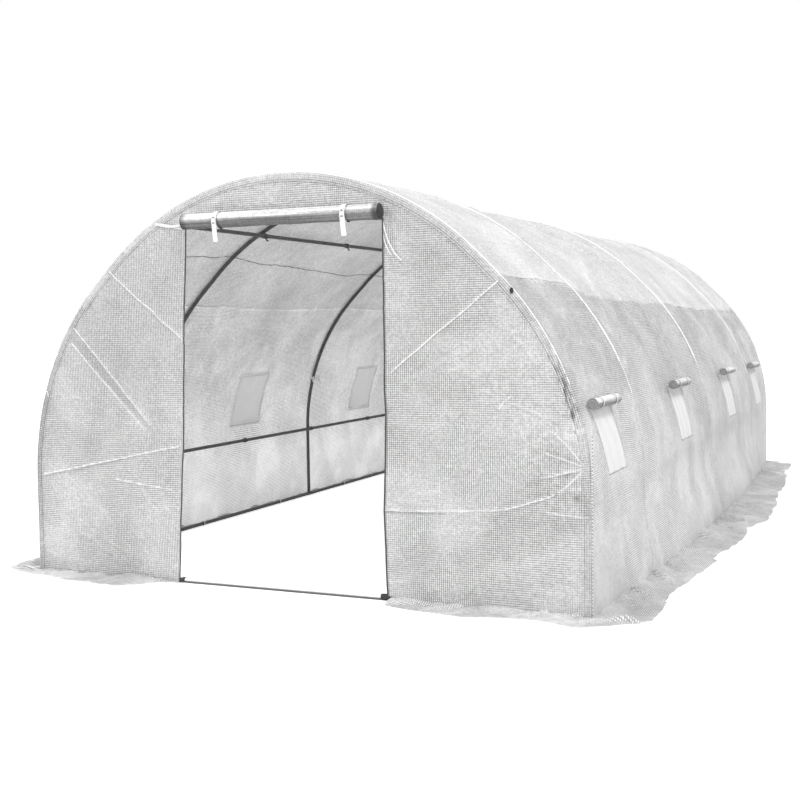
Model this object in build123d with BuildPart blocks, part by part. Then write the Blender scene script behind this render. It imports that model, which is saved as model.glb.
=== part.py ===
from build123d import *
import os
from math import asin, cos, degrees, radians, sin, sqrt

os.makedirs("parts", exist_ok=True)

# Polytunnel greenhouse, in millimetres: the tunnel runs along Y with its doorway at -Y,
# and the origin is on the ground at the middle of the footprint.

# Overall size
tunnel_width = 3000
tunnel_length = 6000
leg_height = 500
joint_straight = 134
first_bay = 1000
second_bay = 2000

# Steel tube frame
tube_diameter = 25
tube_wall = 1.2
tube_sides = 10
tube_clearance = 0.3
upper_purlin_angle = 61

# Woven film cover
film = 3
roof_seam_height = 1400
seat = 0.3

# Doorway and its rolled-up door
door_width = 1100
door_height = 1770
door_roll_diameter = 75
door_roll_length = 1050
door_roll_height = 1785
door_tie_spacing = 700
door_tie_tail = 95
door_zip_width = 12
door_zip_thickness = 2

# Tie tapes round the rolled door and window flaps
tie_width = 25
tie_thickness = 2
tie_sides = 12

# Windows along both sides
window_one_from_front = 480
window_two_from_front = 2150
window_three_from_back = 2000
window_four_from_back = 580
window_width = 340
window_sill = 570
window_head = 880
window_mesh = 1
flap_overlap = 25
window_roll_diameter = 55
window_roll_length = 430
window_roll_height = 890
window_tie_spacing = 250

# Skirts lying on the ground
skirt_width = 400
skirt_front_width = 230
skirt_flare_length = 1300
skirt_end_depth = 200

# Derived places
half_width = tunnel_width / 2
half_length = tunnel_length / 2
bend_radius = half_width - joint_straight / sqrt(2)
tube_radius = tube_diameter / 2
hoop_inset = film + tube_radius
end_hoop_y = half_length - hoop_inset
inner_hoop_y = half_length - first_bay
hoop_places = {
    "hoop_front": -end_hoop_y,
    "hoop_second": -inner_hoop_y,
    "hoop_middle": -inner_hoop_y + second_bay,
    "hoop_fourth": inner_hoop_y,
    "hoop_back": end_hoop_y,
}
purlin_inset = hoop_inset + tube_diameter + tube_clearance
window_places = [
    -half_length + window_one_from_front,
    -half_length + window_two_from_front,
    half_length - window_three_from_back,
    half_length - window_four_from_back,
]


def arch_lines(inset):
    """Half outline of the tunnel from the left foot over the crown to the right foot."""
    radius = bend_radius - inset
    foot = Line((-half_width + inset, 0), (-half_width + inset, leg_height))
    haunch = JernArc(foot @ 1, foot % 1, radius, -45)
    joint = PolarLine(haunch @ 1, joint_straight, direction=haunch % 1)
    crown = JernArc(joint @ 1, joint % 1, radius, -90)
    far_joint = PolarLine(crown @ 1, joint_straight, direction=crown % 1)
    far_haunch = JernArc(far_joint @ 1, far_joint % 1, radius, -45)
    Line(far_haunch @ 1, (half_width - inset, 0))


def arch_face(inset):
    """The tunnel's whole cross-section inside the given inset from the cover's outer face."""
    with BuildSketch(Plane.XY) as face:
        with BuildLine():
            arch_lines(inset)
            Line((half_width - inset, 0), (-half_width + inset, 0))
        make_face()
    return face.sketch


def tube_section():
    """Hollow section of a straight tube, with few sides so that the tubes stay light."""
    RegularPolygon(tube_radius, tube_sides)
    RegularPolygon(tube_radius - tube_wall, tube_sides, mode=Mode.SUBTRACT)


def tie_loop(inner_radius, facing):
    """Loop of tape round a roll, with one flat side turned to the sheet that it lies against."""
    turn = facing + 180 / tie_sides
    RegularPolygon(inner_radius + tie_thickness, tie_sides, major_radius=False, rotation=turn)
    RegularPolygon(inner_radius, tie_sides, major_radius=False, rotation=turn, mode=Mode.SUBTRACT)


def wall_offset(height, inset):
    """Distance from the centre line to the side wall at a height, and the wall's lean in degrees."""
    lean = asin((height - leg_height) / (bend_radius - inset)) if height > leg_height else 0
    return half_width - bend_radius + (bend_radius - inset) * cos(lean), degrees(lean)


# Hoops: two legs, two haunches and a crown of bent tube
for hoop_name, hoop_y in hoop_places.items():
    with BuildPart() as hoop:
        with BuildLine(Plane.XZ.offset(-hoop_y)) as hoop_path:
            arch_lines(hoop_inset)
        with BuildSketch(Plane(hoop_path.line @ 0, z_dir=hoop_path.line % 0)):
            RegularPolygon(tube_radius, tube_sides)
        sweep()
    hoop.part.label = hoop_name
    export_step(hoop.part, f"parts/{hoop_name}.step")


# Lengthwise tubes under the hoops: ridge, upper purlins, side rails and base rails
crown_centre = leg_height + half_width - bend_radius
purlin_radius = bend_radius - purlin_inset
purlin_x = purlin_radius * cos(radians(upper_purlin_angle))
purlin_z = crown_centre + purlin_radius * sin(radians(upper_purlin_angle))
rail_x = half_width - purlin_inset
lengthwise = {
    "ridge_purlin": (0, crown_centre + purlin_radius),
    "upper_purlin_left": (-purlin_x, purlin_z),
    "upper_purlin_right": (purlin_x, purlin_z),
    "side_rail_left": (-rail_x, leg_height),
    "side_rail_right": (rail_x, leg_height),
}
for tube_name, (tube_x, tube_z) in lengthwise.items():
    with BuildPart() as tube:
        with BuildSketch(Plane.XZ.offset(-end_hoop_y - tube_radius)):
            with Locations((tube_x, tube_z)):
                tube_section()
        extrude(amount=2 * (end_hoop_y + tube_radius))
    tube.part.label = tube_name
    export_step(tube.part, f"parts/{tube_name}.step")

base_rail_reach = end_hoop_y - tube_radius - tube_clearance
for tube_name, tube_x in {"base_rail_left": -rail_x, "base_rail_right": rail_x}.items():
    with BuildPart() as tube:
        with BuildSketch(Plane.XZ.offset(-base_rail_reach)):
            with Locations((tube_x, tube_radius)):
                tube_section()
        extrude(amount=2 * base_rail_reach)
    tube.part.label = tube_name
    export_step(tube.part, f"parts/{tube_name}.step")

# Crosswise base rails between the feet of the end hoops; the front one is the door sill
cross_rail_reach = half_width - hoop_inset - tube_radius - tube_clearance
for tube_name, tube_y in {"door_sill_rail": -end_hoop_y, "base_rail_back": end_hoop_y}.items():
    with BuildPart() as tube:
        with BuildSketch(Plane.YZ.offset(-cross_rail_reach)):
            with Locations((tube_y, tube_radius)):
                tube_section()
        extrude(amount=2 * cross_rail_reach)
    tube.part.label = tube_name
    export_step(tube.part, f"parts/{tube_name}.step")


# Cover over the hoops: a roof sheet and two side sheets with their window holes
sheet_reach = half_length - film
ridge_height = leg_height + half_width
with BuildPart() as roof_sheet:
    with BuildSketch(Plane.XZ.offset(-sheet_reach)):
        add(arch_face(0))
        add(arch_face(film), mode=Mode.SUBTRACT)
        with Locations((0, roof_seam_height)):
            Rectangle(tunnel_width, ridge_height, align=(Align.CENTER, Align.MIN), mode=Mode.INTERSECT)
    extrude(amount=2 * sheet_reach)
roof_sheet.part.label = "roof_sheet"
export_step(roof_sheet.part, "parts/roof_sheet.step")

for side_name, side in {"left": -1, "right": 1}.items():
    with BuildPart() as side_sheet:
        with BuildSketch(Plane.XZ.offset(-sheet_reach)):
            add(arch_face(0))
            add(arch_face(film), mode=Mode.SUBTRACT)
            with Locations((side * half_width, roof_seam_height / 2)):
                Rectangle(tunnel_width, roof_seam_height, mode=Mode.INTERSECT)
        extrude(amount=2 * sheet_reach)
        with BuildSketch(Plane.YZ.offset(side * half_width / 2)):
            with Locations(*[(window_y, (window_sill + window_head) / 2) for window_y in window_places]):
                Rectangle(window_width, window_head - window_sill)
        extrude(amount=side * half_width, mode=Mode.SUBTRACT)
    side_sheet.part.label = f"side_sheet_{side_name}"
    export_step(side_sheet.part, f"parts/side_sheet_{side_name}.step")

    # Insect mesh closing each window hole
    with BuildPart() as window_meshes:
        with BuildSketch(Plane.XZ.offset(-sheet_reach)):
            add(arch_face(film - window_mesh))
            add(arch_face(film), mode=Mode.SUBTRACT)
            with Locations((side * half_width, roof_seam_height / 2)):
                Rectangle(tunnel_width, roof_seam_height, mode=Mode.INTERSECT)
        extrude(amount=2 * sheet_reach)
        with BuildSketch(Plane.YZ.offset(side * half_width / 2)):
            with Locations(*[(window_y, (window_sill + window_head) / 2) for window_y in window_places]):
                Rectangle(window_width - 2 * seat, window_head - window_sill - 2 * seat)
        extrude(amount=side * half_width, mode=Mode.INTERSECT)
    window_meshes.part.label = f"window_meshes_{side_name}"
    export_step(window_meshes.part, f"parts/window_meshes_{side_name}.step")


# Left windows are shut: each flap lies over its hole from outside
flap_width = window_width + 2 * flap_overlap
flap_height = window_head - window_sill + 2 * flap_overlap
with BuildPart() as window_flaps_left:
    with BuildSketch(Plane.XZ.offset(-sheet_reach)):
        add(arch_face(-seat - film))
        add(arch_face(-seat), mode=Mode.SUBTRACT)
        with Locations((-half_width, roof_seam_height / 2)):
            Rectangle(tunnel_width, roof_seam_height, mode=Mode.INTERSECT)
    extrude(amount=2 * sheet_reach)
    with BuildSketch(Plane.YZ.offset(-half_width / 2)):
        with Locations(*[(window_y, (window_sill + window_head) / 2) for window_y in window_places]):
            Rectangle(flap_width, flap_height)
    extrude(amount=-half_width, mode=Mode.INTERSECT)
window_flaps_left.part.label = "window_flaps_left"
export_step(window_flaps_left.part, "parts/window_flaps_left.step")

# Right windows are open: each flap is rolled up above its hole and held by two ties
roll_radius = window_roll_diameter / 2
roll_stand_off = roll_radius + 2 * seat + tie_thickness
wall_x, wall_lean = wall_offset(window_roll_height, 0)
roll_x = wall_x + roll_stand_off * cos(radians(wall_lean))
roll_z = window_roll_height + roll_stand_off * sin(radians(wall_lean))
with BuildPart() as window_rolls_right:
    for window_y in window_places:
        with BuildSketch(Plane.XZ.offset(-window_y - window_roll_length / 2)):
            with Locations((roll_x, roll_z)):
                Circle(roll_radius)
        extrude(amount=window_roll_length)
window_rolls_right.part.label = "window_rolls_right"
export_step(window_rolls_right.part, "parts/window_rolls_right.step")

with BuildPart() as window_ties_right:
    for window_y in window_places:
        for tie_y in (window_y - window_tie_spacing / 2, window_y + window_tie_spacing / 2):
            with BuildSketch(Plane.XZ.offset(-tie_y - tie_width / 2)):
                with Locations((roll_x, roll_z)):
                    tie_loop(roll_radius + seat, wall_lean)
            extrude(amount=tie_width)
window_ties_right.part.label = "window_ties_right"
export_step(window_ties_right.part, "parts/window_ties_right.step")


# Front: two panels beside the doorway and a lunette above it
for side_name, side in {"left": -1, "right": 1}.items():
    with BuildPart() as front_panel:
        with BuildSketch(Plane.XZ.offset(half_length - film)):
            add(arch_face(0))
            with Locations((side * (door_width / 2 + half_width), ridge_height / 2)):
                Rectangle(2 * half_width, ridge_height, mode=Mode.INTERSECT)
        extrude(amount=film)
    front_panel.part.label = f"front_panel_{side_name}"
    export_step(front_panel.part, f"parts/front_panel_{side_name}.step")

    # Zip along the door edge, from the skirt to the lunette
    with BuildPart() as door_zip:
        with BuildSketch(Plane.XZ.offset(half_length)):
            with Locations((side * (door_width + door_zip_width) / 2, film)):
                Rectangle(door_zip_width, door_height - film, align=(Align.CENTER, Align.MIN))
        extrude(amount=door_zip_thickness)
    door_zip.part.label = f"door_zip_{side_name}"
    export_step(door_zip.part, f"parts/door_zip_{side_name}.step")

with BuildPart() as front_lunette:
    with BuildSketch(Plane.XZ.offset(half_length - film)):
        add(arch_face(0))
        with Locations((0, door_height)):
            Rectangle(door_width, half_width, align=(Align.CENTER, Align.MIN), mode=Mode.INTERSECT)
    extrude(amount=film)
front_lunette.part.label = "front_lunette"
export_step(front_lunette.part, "parts/front_lunette.step")

with BuildPart() as back_panel:
    with BuildSketch(Plane.XZ.offset(-half_length)):
        add(arch_face(0))
    extrude(amount=film)
back_panel.part.label = "back_panel"
export_step(back_panel.part, "parts/back_panel.step")

# Door sheet rolled up over the doorway, with its two ties
door_roll_radius = door_roll_diameter / 2
door_roll_y = -half_length - door_roll_radius - 2 * seat - tie_thickness
with BuildPart() as door_roll:
    with BuildSketch(Plane.YZ.offset(-door_roll_length / 2)):
        with Locations((door_roll_y, door_roll_height)):
            Circle(door_roll_radius)
    extrude(amount=door_roll_length)
door_roll.part.label = "door_roll"
export_step(door_roll.part, "parts/door_roll.step")

with BuildPart() as door_ties:
    for tie_x in (-door_tie_spacing / 2, door_tie_spacing / 2):
        with BuildSketch(Plane.YZ.offset(tie_x - tie_width / 2)):
            with Locations((door_roll_y, door_roll_height)):
                tie_loop(door_roll_radius + seat, 0)
            with Locations((door_roll_y - door_roll_radius - seat - tie_thickness, door_roll_height)):
                Rectangle(tie_thickness, door_roll_radius + door_tie_tail, align=(Align.MIN, Align.MAX))
        extrude(amount=tie_width)
door_ties.part.label = "door_ties"
export_step(door_ties.part, "parts/door_ties.step")


# Skirts: the cover's lower edge spread out on the ground
for side_name, side in {"left": -1, "right": 1}.items():
    with BuildPart() as skirt:
        with BuildSketch(Plane.XY):
            with BuildLine():
                Polyline(
                    (side * half_width, -half_length),
                    (side * (half_width + skirt_front_width), -half_length),
                    (side * (half_width + skirt_width), -half_length + skirt_flare_length),
                    (side * (half_width + skirt_width), half_length - skirt_flare_length),
                    (side * (half_width + skirt_front_width), half_length),
                    (side * half_width, half_length),
                    close=True,
                )
            make_face()
        extrude(amount=film)
    skirt.part.label = f"skirt_{side_name}"
    export_step(skirt.part, f"parts/skirt_{side_name}.step")

    with BuildPart() as front_skirt:
        with BuildSketch(Plane.XY):
            with BuildLine():
                Polyline(
                    (side * door_width / 2, -half_length),
                    (side * door_width / 2, -half_length - skirt_end_depth),
                    (side * half_width, -half_length - skirt_end_depth),
                    (side * (half_width + skirt_front_width), -half_length),
                    close=True,
                )
            make_face()
        extrude(amount=film)
    front_skirt.part.label = f"front_skirt_{side_name}"
    export_step(front_skirt.part, f"parts/front_skirt_{side_name}.step")

with BuildPart() as back_skirt:
    with BuildSketch(Plane.XY):
        with BuildLine():
            Polyline(
                (-half_width - skirt_front_width, half_length),
                (half_width + skirt_front_width, half_length),
                (half_width, half_length + skirt_end_depth),
                (-half_width, half_length + skirt_end_depth),
                close=True,
            )
        make_face()
    extrude(amount=film)
back_skirt.part.label = "back_skirt"
export_step(back_skirt.part, "parts/back_skirt.step")
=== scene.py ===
from math import asin, cos, pi, radians, sin, sqrt

import bpy
import numpy as np
from mathutils import Matrix, Vector


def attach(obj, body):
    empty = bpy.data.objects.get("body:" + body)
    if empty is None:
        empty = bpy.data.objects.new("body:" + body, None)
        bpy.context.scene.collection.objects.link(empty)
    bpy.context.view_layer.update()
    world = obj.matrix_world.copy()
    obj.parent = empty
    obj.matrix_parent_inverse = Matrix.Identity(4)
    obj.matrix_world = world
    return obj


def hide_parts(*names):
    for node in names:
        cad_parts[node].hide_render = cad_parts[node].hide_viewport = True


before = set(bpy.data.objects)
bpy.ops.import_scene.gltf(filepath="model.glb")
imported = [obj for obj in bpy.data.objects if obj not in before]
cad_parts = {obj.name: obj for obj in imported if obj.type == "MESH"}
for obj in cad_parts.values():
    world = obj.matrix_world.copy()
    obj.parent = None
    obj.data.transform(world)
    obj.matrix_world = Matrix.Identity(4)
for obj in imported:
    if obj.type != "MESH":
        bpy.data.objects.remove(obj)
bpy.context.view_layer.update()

# Tunnel profile in metres, as packed. "run" is the distance along the profile from the ridge, negative on the
# left, and "foot" the distance up the profile from the ground.
HALF_WIDTH = 1.5
HALF_LENGTH = 3.0
LEG = 0.5
STRAIGHT = 0.134
RADIUS = HALF_WIDTH - STRAIGHT / sqrt(2)
HAUNCH_END = LEG + RADIUS * pi / 4
CROWN_START = HAUNCH_END + STRAIGHT
RIDGE = CROWN_START + RADIUS * pi / 4
CROWN_Z = 0.59475
TUBE = 0.0125
HOOP_INSET = 0.0155
RAIL_INSET = 0.0408
RAIL_TUBE = 0.0110
HOOP_TUBE = 0.0113
END_HOOP = 2.9845
HOOPS = {
    "hoop_front": -END_HOOP, "hoop_second": -2.0, "hoop_middle": 0.0, "hoop_fourth": 2.0, "hoop_back": END_HOOP,
}
HOOP_Y = np.array(list(HOOPS.values()))
INNER_HOOPS = HOOP_Y[1:-1]
SIDES = ((-1, "left"), (1, "right"))
DOOR_HALF = 0.55
DOOR_TOP = 1.77


def foot_at(z):
    """Distance up the profile at height z, on the leg or the haunch."""
    return z if z < LEG else LEG + RADIUS * asin((z - LEG) / RADIUS)


SEAM_FOOT = foot_at(1.4)
SEWN_FOOT = foot_at(1.65)
WINDOWS = (-2.52, -0.85, 1.0, 2.42)
WINDOW_HALF = 0.17
SILL, HEAD = 0.57, 0.88
SILL_FOOT, HEAD_FOOT = foot_at(SILL), foot_at(HEAD)


# Noise and lines


def smooth(a, low, high):
    """0 below low, 1 above high, smooth between."""
    t = np.clip((a - low) / (high - low), 0, 1)
    return t * t * (3 - 2 * t)


def noise(a, b, seed):
    """Smooth noise from -1 to 1 over the plane of a and b, with bumps about 1 across."""
    table = np.random.default_rng(seed).uniform(-1, 1, (97, 89))
    a, b = np.broadcast_arrays(np.asarray(a, float), np.asarray(b, float))
    i, j = np.floor(a).astype(int), np.floor(b).astype(int)
    f, g = a - i, b - j
    f, g = f * f * f * (f * (6 * f - 15) + 10), g * g * g * (g * (6 * g - 15) + 10)
    low = table[i % 97, j % 89] * (1 - f) + table[(i + 1) % 97, j % 89] * f
    high = table[i % 97, (j + 1) % 89] * (1 - f) + table[(i + 1) % 97, (j + 1) % 89] * f
    return low * (1 - g) + high * g


def bell(a, width):
    """1 where a is 0, falling away over width."""
    return np.exp(-(a / width) ** 2)


def creases(a, b, seed, width=0.12):
    """Thin wandering lines, 1 on the line and 0 away from it."""
    return bell(noise(a, b, seed), width)


def on_line(a, b, start, end, width):
    """1 on the segment from start to end, falling away over width."""
    da, db = end[0] - start[0], end[1] - start[1]
    t = np.clip(((a - start[0]) * da + (b - start[1]) * db) / (da * da + db * db), 0, 1)
    return np.exp(-((a - start[0] - t * da) ** 2 + (b - start[1] - t * db) ** 2) / width ** 2)


def lines(low, high, step, extra=()):
    """Grid lines about a step apart, with the extra ones among them exactly."""
    extra = sorted(e for e in extra if low < e < high)
    even = np.linspace(low, high, max(2, int(round((high - low) / step)) + 1))
    kept = [e for e in even if all(abs(e - x) > step * 0.45 for x in extra) or e in (low, high)]
    return np.array(sorted(kept + extra))


def stack(*parts):
    """Places or other rows of numbers from their columns, which may be arrays or single values."""
    return np.stack(np.broadcast_arrays(*parts), -1)


def cross(a, b):
    """a down the rows and b along the columns of a grid."""
    return np.meshgrid(a, b, indexing="ij")


def travelled(path):
    """Distance along the path at each of its points."""
    return np.concatenate([[0], np.cumsum(np.linalg.norm(np.diff(path, axis=0), axis=1))])


# Meshes


class Shape:
    """Grids and other patches of faces, collected into one mesh."""

    def __init__(self):
        self.points, self.faces, self.flat, self.slots, self.count = [], [], [], [], 0
        self.tones, self.crumples = [], []

    def patch(self, points, faces, flat, tone=1.0, slot=0, crumple=0.3):
        points, faces = np.asarray(points, float), np.asarray(faces, int)
        used, back = np.unique(faces, return_inverse=True)
        self.points.append(points[used])
        self.flat.append(flat[used])
        for values, value in ((self.tones, tone), (self.crumples, crumple)):
            values.append(np.broadcast_to(value, (len(points),))[used])
        self.faces += (back.reshape(faces.shape) + self.count).tolist()
        self.slots += np.broadcast_to(slot, (len(faces),)).tolist()
        self.count += len(used)

    def grid(self, places, flat, tone=1.0, keep=None, slot=0, flip=False, crumple=0.3):
        """A patch of quads over a rows by columns array of points."""
        rows, columns = places.shape[:2]
        index = np.arange(rows * columns).reshape(rows, columns)
        faces = stack(index[:-1, :-1], index[1:, :-1], index[1:, 1:], index[:-1, 1:])
        if flip:
            faces = faces[..., ::-1]
        if keep is None:
            keep = np.ones((rows - 1, columns - 1), bool)
        tone, crumple = (np.broadcast_to(value, (rows, columns)).reshape(-1) for value in (tone, crumple))
        slot = np.broadcast_to(slot, keep.shape)[keep]
        self.patch(places.reshape(-1, 3), faces[keep], flat.reshape(-1, 2), tone, slot, crumple)

    def tube(self, path, radius, sides, closed=False, ends=True):
        """A round bar along the path; radius may be a list, one for each point."""
        path = np.asarray(path, float)
        n = len(path)
        radius = np.broadcast_to(np.asarray(radius, float), (n,))
        ahead = np.roll(path, -1, 0) - np.roll(path, 1, 0) if closed else np.gradient(path, axis=0)
        ahead /= np.linalg.norm(ahead, axis=1)[:, None]
        side = np.cross(ahead[0], (0, 0, 1) if abs(ahead[0][2]) < 0.9 else (0, 1, 0))
        rings, angle = [], np.arange(sides) * 2 * pi / sides
        for k in range(n):
            side = side - ahead[k] * (side @ ahead[k])
            side /= np.linalg.norm(side)
            other = np.cross(ahead[k], side)
            rings.append(path[k] + radius[k] * (np.cos(angle)[:, None] * side + np.sin(angle)[:, None] * other))
        flat = stack(*cross(travelled(path), angle * radius[0])).reshape(-1, 2)
        faces = []
        for k in range(n if closed else n - 1):
            a, b = k * sides, (k + 1) % n * sides
            faces += [(a + i, a + (i + 1) % sides, b + (i + 1) % sides, b + i) for i in range(sides)]
        self.patch(np.concatenate(rings), faces, flat)
        if ends and not closed:
            for ring, centre, turned in ((rings[0], path[0], 1), (rings[-1], path[-1], -1)):
                fan = [(sides, (i + 1) % sides, i)[::turned] for i in range(sides)]
                points = np.vstack([ring, centre])
                self.patch(points, fan, points[:, :2])

    def mesh(self, name, *materials):
        mesh = bpy.data.meshes.new(name)
        mesh.from_pydata(np.vstack(self.points).tolist(), [], self.faces)
        for m in materials:
            mesh.materials.append(m)
        mesh.polygons.foreach_set("material_index", np.array(self.slots, dtype=np.int32))
        mesh.polygons.foreach_set("use_smooth", np.ones(len(self.faces), bool))
        corner = np.empty(len(mesh.loops), dtype=np.int32)
        mesh.loops.foreach_get("vertex_index", corner)
        layer = mesh.uv_layers.new(name="Flat")
        layer.data.foreach_set("uv", np.vstack(self.flat)[corner].astype(np.float32).ravel())
        for word, values in (("tone", self.tones), ("crumple", self.crumples)):
            layer = mesh.attributes.new(word, "FLOAT", "POINT")
            layer.data.foreach_set("value", np.concatenate(values).astype(np.float32))
        mesh.validate()
        mesh.update()
        piece = bpy.data.objects.new(name, mesh)
        bpy.context.scene.collection.objects.link(piece)
        return piece

    def settle(self, name, materials, slot, *nodes):
        """The finished piece, with its materials. It rides on the root and hides the CAD nodes that it stands for;
        slot, the name of its finish, is not used.
        """
        piece = self.mesh(name, *(materials if isinstance(materials, tuple) else (materials,)))
        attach(piece, "root")
        if nodes:
            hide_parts(*nodes)
        return piece


# Materials


class Nodes:
    """Short calls for building the node tree of a material or world."""

    def __init__(self, owner):
        owner.use_nodes = True
        self.owner, self.tree = owner, owner.node_tree
        self.tree.nodes.clear()

    def add(self, kind, values=(), output=0, **settings):
        n = self.tree.nodes.new("ShaderNode" + kind)
        for key, value in settings.items():
            setattr(n, key, value)
        for key, value in dict(values).items():
            if isinstance(value, bpy.types.NodeSocket):
                self.tree.links.new(value, n.inputs[key])
            else:
                n.inputs[key].default_value = value
        return n.outputs[output]

    def math(self, operation, a, b=0.0):
        return self.add("Math", {0: a, 1: b}, operation=operation)

    def times(self, first, *others):
        for value in others:
            first = self.math("MULTIPLY", first, value)
        return first

    def spread(self, value, from_low, from_high, low, high):
        ends = {"From Min": from_low, "From Max": from_high, "To Min": low, "To Max": high}
        return self.add("MapRange", {"Value": value, **ends}, interpolation_type="SMOOTHSTEP")

    def noise(self, vector, scale, detail=3.0, rough=0.5):
        return self.add("TexNoise", {"Vector": vector, "Scale": scale, "Detail": detail, "Roughness": rough})

    def grey(self, value):
        return self.add("CombineColor", {0: value, 1: value, 2: value})

    def place(self):
        return self.add("TexCoord", output="Object")

    def flat(self):
        """The two directions of the flat sheet, in metres."""
        u = self.add("SeparateXYZ", {0: self.add("UVMap", uv_map="Flat")})
        return u, u.node.outputs[1]

    def attribute(self, word):
        return self.add("Attribute", output="Fac", attribute_name=word)

    def bump(self, height, strength, distance, under=None):
        values = {"Height": height, "Strength": strength, "Distance": distance}
        if under is not None:
            values["Normal"] = under
        return self.add("Bump", values)

    def finish(self, shader, kind="OutputMaterial"):
        out = self.tree.nodes.new("ShaderNode" + kind)
        self.tree.links.new(shader, out.inputs["Surface"])
        return self.owner

    def surface(self, value, rough, normal, through=0.0, specular=0.5):
        """A grey surface, with light coming through it where through isn't 0."""
        colour = self.grey(value)
        coat = {"Base Color": colour, "Roughness": rough, "Normal": normal, "Specular IOR Level": specular}
        shader = self.add("BsdfPrincipled", coat)
        if through:
            glow = self.add("BsdfTranslucent", {"Color": colour, "Normal": normal})
            shader = self.add("MixShader", {0: through, 1: shader, 2: glow})
        return self.finish(shader)


SCRIM = 0.010


def film_material(name, shade, through, scrim=0.68):
    """Woven film: a grid of threads under a smooth coat, crinkled, with light coming through."""
    m = Nodes(bpy.data.materials.new(name))
    place, tone, crumple = m.place(), m.attribute("tone"), m.attribute("crumple")
    thread = []
    for axis, seed in zip(m.flat(), (3.1, 7.7)):
        gap = m.math("PINGPONG", m.times(axis, 1 / SCRIM), 0.5)
        line = m.spread(gap, 0.05, 0.24, 1.0, 0.0)
        patch = m.noise(m.add("VectorMath", {0: place, 1: (seed, seed, seed)}, operation="ADD"), 2.6, 3.0, 0.6)
        thread.append(m.times(line, m.spread(patch, 0.40, 0.60, 0.42, 1.0)))
    grid = m.math("MAXIMUM", *thread)
    # soft clouds, wear and specks
    cloud = m.spread(m.noise(place, 1.7, 2.0, 0.5), 0.3, 0.7, 0.975, 1.02)
    worn = m.spread(m.noise(place, 30.0, 6.0, 0.8), 0.32, 0.68, 0.91, 1.07)
    speck = m.spread(m.noise(place, 85.0, 2.0, 0.6), 0.35, 0.65, 0.86, 1.10)
    # folds, sharp ridges and a net of fine creases; the colour is paler on the ridges' crests and along the creases, a
    # painted highlight
    fold = m.noise(place, 9.0, 5.0, 0.6)
    ridge = m.add("TexNoise", {"Vector": place, "Scale": 4.2, "Detail": 5.0, "Roughness": 0.62, "Lacunarity": 2.3,
                               "Distortion": 0.35, "Offset": 0.85, "Gain": 1.6}, noise_type="RIDGED_MULTIFRACTAL")
    bend = m.add("TexNoise", {"Vector": place, "Scale": 5.0, "Detail": 3.0}, output=1)
    bend = m.add("VectorMath", {0: bend, 3: 0.22}, operation="SCALE")
    bent = m.add("VectorMath", {0: place, 1: bend}, operation="ADD")
    edges = m.add("TexVoronoi", {"Vector": bent, "Scale": 13.0}, feature="DISTANCE_TO_EDGE")
    shown = m.times(m.spread(m.noise(place, 6.5, 2.0), 0.50, 0.60, 0.0, 1.0), m.spread(crumple, 0.1, 0.5, 0.25, 1.0))
    net = m.times(m.spread(edges, 0.0, 0.075, 1.0, 0.0), shown)
    crest_highlight = m.spread(m.times(m.spread(ridge, 1.25, 1.75, 0.0, 1.0), crumple), 0.0, 1.0, 1.0, 1.14)
    value = m.times(cloud, worn, speck, tone, shade, crest_highlight, m.spread(net, 0.0, 1.0, 1.0, 1.13),
                    m.math("SUBTRACT", 1.0, m.times(grid, scrim)))
    normal = m.bump(m.times(fold, m.spread(crumple, 0.14, 0.45, 0.0, 1.0)), 0.8, 0.016)
    normal = m.bump(m.times(ridge, crumple), 0.9, 0.011, normal)
    normal = m.bump(net, 0.8, 0.004, normal)
    normal = m.bump(grid, 0.4, 0.0008, normal)
    return m.surface(m.math("MINIMUM", value, 0.95), 0.40, normal, through, 0.45)


def plain_material(name, shade, rough=0.5, through=0.0, grain=40.0, vary=0.06, bump=0.2, weave=0.0):
    """A plain finish with fine colour and surface variation; weave gives its threads' pitch in metres."""
    m = Nodes(bpy.data.materials.new(name))
    place = m.place()
    spot = m.noise(place, grain, 4.0, 0.6)
    value = m.times(m.spread(spot, 0.3, 0.7, shade * (1 - vary), shade * (1 + vary)), m.attribute("tone"))
    normal = m.bump(spot, bump, 0.0008)
    if weave:
        over = m.times(*(m.math("SINE", m.times(axis, 2 * pi / weave)) for axis in m.flat()))
        value = m.times(value, m.spread(over, -1.0, 1.0, 0.93, 1.03))
        normal = m.bump(over, 0.5, weave * 0.2, normal)
    rough = m.spread(m.noise(place, grain * 0.3, 3.0), 0.3, 0.7, max(rough - 0.08, 0.05), rough + 0.08)
    return m.surface(value, rough, normal, through)


def stitched_material(name, shade, pitch, dark, through):
    """A sewn film edge: a row of dark stitches along the middle of a pale strip."""
    m = Nodes(bpy.data.materials.new(name))
    u, v = m.flat()
    dash = m.spread(m.math("PINGPONG", m.times(u, 1 / pitch), 0.5), 0.22, 0.28, 0.0, 1.0)
    stitch = m.times(dash, m.spread(m.math("ABSOLUTE", v), 0.0016, 0.0024, 1.0, 0.0))
    value = m.times(m.spread(m.noise(m.place(), 60.0, 3.0), 0.3, 0.7, shade * 0.92, shade),
                    m.spread(stitch, 0.0, 1.0, 1.0, dark))
    return m.surface(value, 0.5, m.bump(stitch, 0.6, 0.0006), through)


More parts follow.
